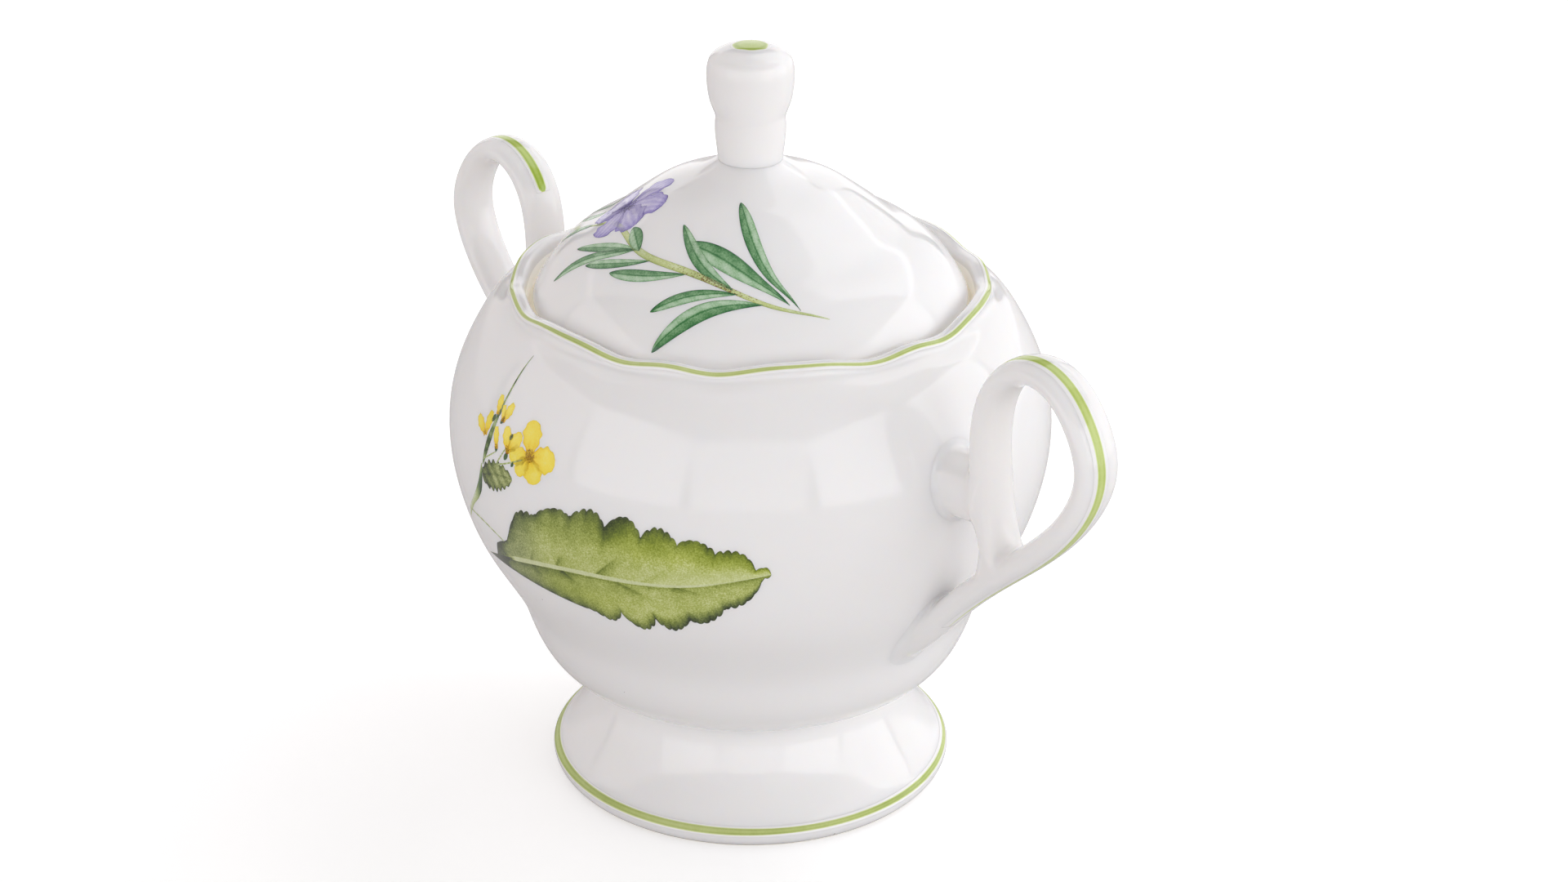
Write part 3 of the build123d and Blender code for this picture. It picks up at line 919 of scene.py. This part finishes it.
def leaf_blade(rows=460, columns=121):
    """The blade: a grid that reaches up and down from its rib and leans towards its tip. Its base
    is narrow above the rib. Returns the rib, the grid, and t from -1 below to 1 above."""
    rib = smooth_line(LEAF_RIB, rows)
    share = np.linspace(0, 1, rows)
    up = leaf_reach(share, LEAF_ABOVE, 0.9, 0.66, 0.10, 0.35)
    up *= ease((share - 0.075) / 0.03) * (0.45 + 0.55 * ease((share - 0.15) / 0.08))
    up = np.maximum(up, 0.02)
    down = leaf_reach(share, LEAF_BELOW, 1.45, 0.8, 0.42, 0.1)
    t = np.linspace(-1, 1, columns)
    t = np.sign(t) * np.abs(t) ** 1.15
    grid = rib[:, None, :]
    for part, reach, way in ((t, up, 1.0), (-t, down, -1.0)):
        side = np.array((LEAF_LEAN, way)) * reach[:, None]
        grid = grid + np.clip(part, 0, 1)[None, :, None] * side[:, None, :]
    grid[[0, -1], :, 1] += 0.03 * t
    return rib, grid, t


def leaf_shading(rib, grid, t):
    """Depth and Hue of the blade, laid on as washes. x runs along the bowl in millimetres, and
    edge from 0 at the rib to 1 at the margin."""
    x = grid[..., 0]
    from_rib = grid[..., 1] - np.interp(x, rib[:, 0], rib[:, 1])
    edge = np.abs(t)[None, :] + 0 * x
    above = (t > 0)[None, :] + 0 * x
    below = 1 - above
    depth = 0.22 + 0.14 * above * hump(x, -4, 9) * hump(edge, 0.7, 0.3)     # the pale ground
    depth += 0.16 * below * ease((8 - x) / 20)
    depth += 0.52 * edge ** 8 * (0.7 + 0.3 * np.sin(x * 1.9)) + 0.16 * edge ** 3      # the margin
    depth += 0.28 * above * ease((-11 - x) / 9) * (0.5 + 0.5 * edge)        # the base, above the rib
    depth += 0.40 * above * hump(x, 2.0, 2.4) * ease((edge - 0.45) / 0.4)   # folds between lobes
    depth += 0.22 * above * hump(x, 9.0, 2.2) * ease((edge - 0.35) / 0.4)
    depth += 0.20 * above * ease((x - 12) / 6) * ease((edge - 0.3) / 0.5)   # the tip
    depth += 0.28 * below * ease((x - 2) / 8) * ease((edge - 0.6) / 0.35)
    depth += 0.45 * below * np.exp(from_rib / 0.7) * ease((2 - x) / 16)     # shadow under the rib
    depth += 0.34 * below * np.exp(from_rib / 0.7)
    depth += 0.40 * ease((-22 - x) / 3)                                     # the stalk's end
    depth -= 0.12 * above * ease((x - 2) / 8) * np.exp(-from_rib / 2.2)     # light along the rib
    depth -= 0.10 * below * hump(x, 6, 8) * hump(edge, 0.75, 0.2)
    for along, run, rise, strong in LEAF_VEINS:
        start = np.array((along, np.interp(along, rib[:, 0], rib[:, 1])))
        depth += strong * mark_along(grid, start, np.array((run, rise)), 0.9)
    rib_half = np.interp(x, (-24, -20, 0, 14, 24), (0.18, 0.50, 0.42, 0.26, 0.06))
    on_rib = ease((rib_half - np.abs(from_rib)) / 0.14 + 0.5)
    on_rib = on_rib * ease((x + 23) / 2.5) * ease((24 - x) / 8)
    depth = depth * (1 - on_rib) + 0.10 * on_rib
    hue = 0.55 + 0.35 * above * ease((x + 6) / 14) * ease((edge - 0.2) / 0.5)
    hue -= 0.50 * ease((-10 - x) / 8) + 0.45 * edge ** 8 * ease((18 - x) / 10)
    hue += 0.20 * below * hump(x, -2, 14) * hump(edge, 0.6, 0.3)
    hue -= 0.45 * below * ease((x - 8) / 8) * ease((edge - 0.55) / 0.4)
    hue = hue * (1 - on_rib) + 0.3 * on_rib
    return {"Depth": np.clip(depth, 0.05, 1), "Hue": np.clip(hue, 0, 1)}


leaf_rib, leaf_grid, leaf_t = leaf_blade()
leaf_marks = leaf_shading(leaf_rib, leaf_grid, leaf_t)


# ---- the flower spray beside the leaf --------------------
def marked(shape, spot, turn, depth, hue=0.5, mark=None):
    """A blade or strand laid down with its marks, each a number or a function of s and t. Mark is
    left off where the print has no spots."""
    grid, s, t = shape
    value = {}
    for key, given in (("Depth", depth), ("Hue", hue), ("Mark", mark)):
        if given is not None:
            found = given(s, t) if callable(given) else given + 0 * s
            value[key] = np.clip(found, 0, 1)
    return thin_shell(grid, spot, turn, value)


def petal_depth(s, t):
    """Deeper at the heart, the sides and the tip, with faint lines along it and one pale side."""
    return (0.34 + 0.42 * hump(s, 0.0, 0.34) + 0.22 * np.abs(t) ** 6 + 0.10 * ease((s - 0.86) / 0.14)
            + 0.07 * np.sin(9 * t) * ease(1 - s) - 0.10 * hump(s, 0.62, 0.2) * hump(t, 0.25, 0.4))


def petal_heart(s, t):
    return hump(s, 0.05, 0.26) * hump(t, 0, 0.9)


def out_from(x, y, turn, length, bend=0.0):
    """Three points of a petal or leaf: its root, its middle pushed aside by bend, and its tip,
    length away from the root at an angle in degrees."""
    way = np.array((math.cos(math.radians(turn)), math.sin(math.radians(turn))))
    aside = np.array((-way[1], way[0]))
    root = np.array((x, y), float)
    return root, root + 0.5 * length * way + bend * aside, root + length * way


# each flower or bud: its heart (along, height), and its petals as (angle, length, half width)
YELLOW_FLOWERS = (((-15, 74.5), ((100, 5.5, 2.1), (5, 5.5, 2.1), (-65, 4.5, 2.0), (-125, 4.5, 1.4),
                                 (195, 5.0, 1.6))),
                  ((-20.5, 73.5), ((110, 4, 1.1), (55, 4.5, 1.2))),
                  ((-27.5, 74), ((150, 4, 0.9), (85, 4, 0.9))), ((-23.5, 73), ((110, 3.5, 0.7),)),
                  ((-25.5, 78), ((100, 3, 0.8),)), ((-23.5, 77.5), ((65, 3.5, 0.85), (110, 2.5, 0.6))))
FLOWER_HEARTS = ((-15, 74.5, 1.1), (-20.5, 73.5, 0.5))
# (along, height, angle, length, half width)
SEPALS = ((-25.5, 77.5, 65, 1.7, 0.4), (-24, 77, 60, 1.5, 0.4), (-23.5, 72.5, 95, 1.3, 0.4),
          (-21, 72, 65, 1.5, 0.45), (-19, 71.5, 65, 1.0, 0.3), (-20.5, 75.5, 60, 1.2, 0.4),
          (-26.5, 76.5, 65, 1.5, 0.4))
SPRAY_STEM = ((-23, 88), (-24, 84), (-25, 79), (-27, 69))
SPRAY_FOOT = ((-27.5, 69), (-28, 65), (-32, 60), (-37, 55))
SPRAY_TWIGS = ((((-34, 57.5), (-28, 57.5), (-21.5, 56)), 0.15), (((-23, 70.5), (-21, 74)), 0.13),
               (((-23, 70.5), (-19.5, 72), (-16.5, 73.5)), 0.13), (((-27, 70), (-23.5, 72.5)), 0.11))
SPRAY_STEM_HALVES = (0.06, 0.10, 0.17, 0.2, 0.28, 0.42, 0.62, 0.5, 0.1)
SPRAY_FOOT_HALVES = (0.10, 0.5, 0.75, 0.66, 0.45, 0.4, 0.3, 0.15)
SMALL_LEAF = ((-27, 67), (-23, 68.5), (-18.5, 69.5))
LEAF_SINK = 0.45                        # the wide leaf's underside lies a little deeper


def bowl_spray(name, turn):
    """The leaf and its flower spray, laid down at one side of the bowl."""
    def lay(shape, *marks):
        return marked(shape, bowl_spot, turn, *marks)

    put_down(name + "_leaf", "bowl", [thin_shell(leaf_grid, bowl_spot, turn, leaf_marks, LEAF_SINK)],
             leaf_print)
    petals = [lay(blade(out_from(*heart, angle, length), half, 0.62, 0.5, (60, 27), 0.09, 3.5, 0.45),
                  petal_depth, lambda s, t: 0.25 + 0.5 * (1 - s), petal_heart)
              for heart, ring in YELLOW_FLOWERS for angle, length, half in ring]
    petals += [lay(blade(((x - half, z), (x, z + 0.1), (x + half, z)), half, 0.5, 0.5, (24, 21)),
                   lambda s, t: 0.62 + 0.3 * np.abs(t) ** 3, 0.9, 1.0)
               for x, z, half in FLOWER_HEARTS]
    put_down(name + "_yellow_petals", "bowl", petals, yellow_print)
    green = [lay(strand(SPRAY_STEM, SPRAY_STEM_HALVES, (140, 7)),
                 lambda s, t: (0.42 + 0.16 * np.sin(60 * s) + 0.5 * hump(s, 0.80, 0.12)
                               + 0.3 * hump(s, 0.2, 0.08) + 0.15 * np.abs(t)), 0.75, 0.0),
             lay(strand(SPRAY_FOOT, SPRAY_FOOT_HALVES, (120, 9)),
                 lambda s, t: (0.30 + 0.60 * hump(s, 0.22, 0.15) + 0.22 * t
                               + 0.25 * hump(s, 0.8, 0.04)),
                 lambda s, t: 0.2 + 0.8 * hump(s, 0.2, 0.2), 0.0)]
    green += [lay(strand(path, (half, half, 0.7 * half)),
                  lambda s, t: 0.45 + 0.2 * np.sin(40 * s), 0.25, 0.0) for path, half in SPRAY_TWIGS]
    green += [lay(blade(out_from(x, z, angle, length), half, 0.5, 0.6, (18, 9)), 0.85, 1.0, 0.0)
              for x, z, angle, length, half in SEPALS]
    put_down(name + "_stems", "bowl", green, stem_print)
    crinkled = lay(blade(SMALL_LEAF, 2.4, 0.42, 0.55, (120, 41), 0.13, 7),
                   lambda s, t: (0.36 + 0.42 * np.abs(t) ** 5 + 0.34 * ease((0.5 - s) / 0.4)
                                 + 0.12 * np.sin(26 * s + 4 * t) + 0.2 * hump(t, 0.1, 0.08)), 0.05)
    put_down(name + "_small_leaf", "bowl", [crinkled], leaf_print)


bowl_spray("front", 0)
bowl_spray("back", 180)

# ---- the sprig on the lid --------------------------------
# leaves of the sprig: (root x, root y, angle, length, bend, half width, widest at, darker side)
SPRIG_LEAVES = ((28, -13.5, 168, 20, 2, 1.35, 0.66, 1), (26.5, -14.5, 195, 20, 0, 1.75, 0.62, -1),
                (19, -20, 172, 15, 1.5, 1.15, 0.55, 1), (20, -20, 228, 14, -0.5, 1.1, 0.58, -1),
                (24, -18, 237, 18, -1, 1.35, 0.6, 1), (11, -23, 205, 14, 1, 1.3, 0.62, -1),
                (3.5, -24.5, 200, 12.5, 0.5, 1.1, 0.62, 1), (-1, -24, 207, 15, -0.5, 1.2, 0.55, -1),
                (-0.5, -24, 187, 14, 0, 1.15, 0.58, 1), (0, -24, 150, 6, 0, 1.25, 0.55, -1),
                (-18, -19.5, 195, 7, 0, 0.85, 0.5, 1), (-19.5, -15.5, 185, 6, 0.5, 0.95, 0.5, -1),
                (-18.5, -12, 183, 9, 0, 1.05, 0.55, 1))
LILAC_HEART = (-12, -17)
LILAC_PETALS = ((145, 7, 2.6), (180, 7, 2.3), (55, 8, 2.0), (5, 9, 2.2), (-30, 7.5, 2.3),
                (-95, 6, 2.5))          # angle, length, half width


def sprig_depth(darker):
    """One half of a leaf darker than the other (1 or -1 says which), dark edges and tip, and a
    darker rib."""
    def depth(s, t):
        return (0.34 + 0.20 * darker * np.tanh(3 * t) + 0.42 * np.abs(t) ** 7 + 0.42 * hump(t, 0.0, 0.10)
                + 0.40 * ease((s - 0.88) / 0.12) + 0.40 * ease((0.22 - s) / 0.22)
                + 0.05 * np.sin(38 * s + 3 * t))
    return depth


def lilac_depth(s, t):
    """Deeper at the heart, the sides and the tip, with fine lines along it and one pale side."""
    return (0.30 + 0.40 * np.abs(t) ** 4 + 0.28 * ease((s - 0.72) / 0.28) + 0.40 * hump(s, 0.05, 0.16)
            + 0.10 * np.sin(14 * t) * ease(s * 2) - 0.12 * hump(s, 0.5, 0.2) * hump(t, -0.2, 0.4))


SPRIG_STEM = ((31, -10), (25, -17), (13, -22), (0, -24), (-12, -20), (-22, -20))
STEM_HALVES = (0.06, 0.36, 0.54, 0.5, 0.38, 0.18)


def lid_sprig(name, turn, stem_until, chosen, flower):
    """The leafy sprig, with or without its flower, laid down at one side of the lid."""
    def lay(shape, *marks):
        return marked(shape, lid_spot, turn, *marks)

    halves = STEM_HALVES[:stem_until - 1] + (0.15,)
    stem = lay(strand(SPRIG_STEM[:stem_until], halves, (220, 11)),
               lambda s, t: (0.36 + 0.30 * np.abs(t) ** 3 + 0.12 * t + 0.06 * np.sin(50 * s)
                             - 0.25 * ease((0.06 - s) / 0.06)),
               lambda s, t: 0.10 + 0.15 * np.sin(23 * s),
               lambda s, t: 0.75 * hump(s, 0.33, 0.14) + 0.2)
    put_down(name + "_stem", "lid", [stem], stem_print)
    leaves = [lay(blade(out_from(x, y, angle, length, bend), 0.9 * half, belly, 0.62, (84, 23)),
                  sprig_depth(darker), 0.35)
              for x, y, angle, length, bend, half, belly, darker in chosen]
    put_down(name + "_leaves", "lid", leaves, sprig_print)
    if flower:
        petals = [lay(blade(out_from(*LILAC_HEART, angle, length), 1.08 * half, 0.66, 0.5, (70, 29),
                            0.11, 3.5, 0.5), lilac_depth, 0.3, lambda s, t: hump(s, 0.1, 0.2))
                  for angle, length, half in LILAC_PETALS]
        put_down(name + "_lilac_petals", "lid", petals, lilac_print)


lid_sprig("front_sprig", 0, 6, SPRIG_LEAVES, True)
lid_sprig("back_sprig", 185, 4, SPRIG_LEAVES[1:6], False)


# ---- floor, light, camera --------------------------------
FLOOR_HALF = 6.0                        # metres, as everything from here on
FLOOR_SEEN = (0.93, 0.93, 0.93, 1)
FLOOR_GLOW = 0.31
FLOOR_BOUNCE = (0.64, 0.628, 0.625, 1)


def studio_floor():
    """A pale, even floor, which throws less light back up at the china than it shows."""
    mesh = bpy.data.meshes.new("studio_floor")
    s = FLOOR_HALF
    mesh.from_pydata([(-s, -s, 0), (s, -s, 0), (s, s, 0), (-s, s, 0)], [], [(0, 1, 2, 3)])
    material = bpy.data.materials.new("pale_floor")
    material.use_nodes = True
    n = Nodes(material.node_tree)
    seen = material.node_tree.nodes["Principled BSDF"]
    for key, value in (("Base Color", FLOOR_SEEN), ("Roughness", 0.9),
                       ("Emission Color", (1, 1, 1, 1)), ("Emission Strength", FLOOR_GLOW)):
        seen.inputs[key].default_value = value
    bounced = n.add("ShaderNodeBsdfDiffuse", Color=FLOOR_BOUNCE)
    either = n.add("ShaderNodeMixShader")
    n.link(n.add("ShaderNodeLightPath").outputs["Is Camera Ray"], either.inputs[0])
    n.link(bounced.outputs[0], either.inputs[1])
    n.link(seen.outputs[0], either.inputs[2])
    n.link(either.outputs[0], material.node_tree.nodes["Material Output"].inputs["Surface"])
    mesh.materials.append(material)
    floor = bpy.data.objects.new("studio_floor", mesh)
    bpy.context.scene.collection.objects.link(floor)


SOFTBOX_SIZE = 0.9
SOFTBOX_AIM = 0.06                      # height that the softboxes point at
SOFTBOX_REACH = 1.2                     # radius of their dome
COOL, PLAIN, WARM = (0.985, 0.985, 1.0), (1.0, 0.985, 0.99), (1.0, 0.94, 0.925)
LOW, HIGH = 12, 50                      # how far up they stand, in degrees
SOFTBOXES = (("front", -40.7, LOW, 3.4, PLAIN), ("front_right", 4.3, LOW, 5.5, COOL),
             ("right", 49.3, LOW, 5.0, COOL), ("back_right", 94.3, LOW, 2.7, COOL),
             ("back", 139.3, LOW, 3.2, PLAIN), ("back_left", 184.3, LOW, 1.8, WARM),
             ("left", 229.3, LOW, 2.5, WARM), ("front_left", 274.3, LOW, 4.4, PLAIN),
             ("high_back_right", 94.3, HIGH, 4.1, COOL), ("high_back_left", 184.3, HIGH, 2.0, WARM),
             ("high_right", 49.3, HIGH, 0.8, COOL), ("top", 0.0, 90, 1.0, PLAIN))
SURROUND_COLOUR, SURROUND_STRENGTH = (1.0, 0.972, 0.965, 1), 0.095

CAMERA_PLACE = (0.3568, -0.3069, 0.2762)
CAMERA_AIM = (0, 0, 0.0607)
CAMERA_LENS, CAMERA_SENSOR = 68.34, 36  # millimetres
CAMERA_SHIFT = 0.02135


def softbox(name, around, up, watts, colour):
    """A large square soft light on a dome about the bowl, aimed at its middle: around and up are
    its angles in degrees."""
    light = bpy.data.lights.new(name, "AREA")
    light.size, light.energy, light.color = SOFTBOX_SIZE, watts, colour
    turn, rise = math.radians(around), math.radians(up)
    out = Vector((math.cos(turn) * math.cos(rise), math.sin(turn) * math.cos(rise), math.sin(rise)))
    lamp = bpy.data.objects.new(name, light)
    lamp.location = Vector((0, 0, SOFTBOX_AIM)) + SOFTBOX_REACH * out
    lamp.rotation_euler = (-out).to_track_quat("-Z", "Y").to_euler()
    lamp.visible_camera = False
    bpy.context.scene.collection.objects.link(lamp)


def surround():
    """The even, faint light of the room."""
    world = bpy.data.worlds.new("studio_surround")
    bpy.context.scene.world = world
    world.use_nodes = True
    backdrop = world.node_tree.nodes["Background"]
    backdrop.inputs["Color"].default_value = SURROUND_COLOUR
    backdrop.inputs["Strength"].default_value = SURROUND_STRENGTH
    bpy.context.scene.view_settings.view_transform = "Standard"


def studio_camera():
    """The camera, in front and to the right, and looking down on the bowl."""
    lens = bpy.data.cameras.new("camera")
    lens.lens, lens.sensor_width, lens.shift_x = CAMERA_LENS, CAMERA_SENSOR, CAMERA_SHIFT
    lens.clip_start = 0.01
    camera = bpy.data.objects.new("camera", lens)
    camera.location = CAMERA_PLACE
    aim = Vector(CAMERA_AIM) - camera.location
    camera.rotation_euler = aim.to_track_quat("-Z", "Y").to_euler()
    bpy.context.scene.collection.objects.link(camera)
    bpy.context.scene.camera = camera


studio_floor()
for name, around, up, watts, colour in SOFTBOXES:
    softbox(name + "_softbox", around, up, watts, colour)
surround()
studio_camera()
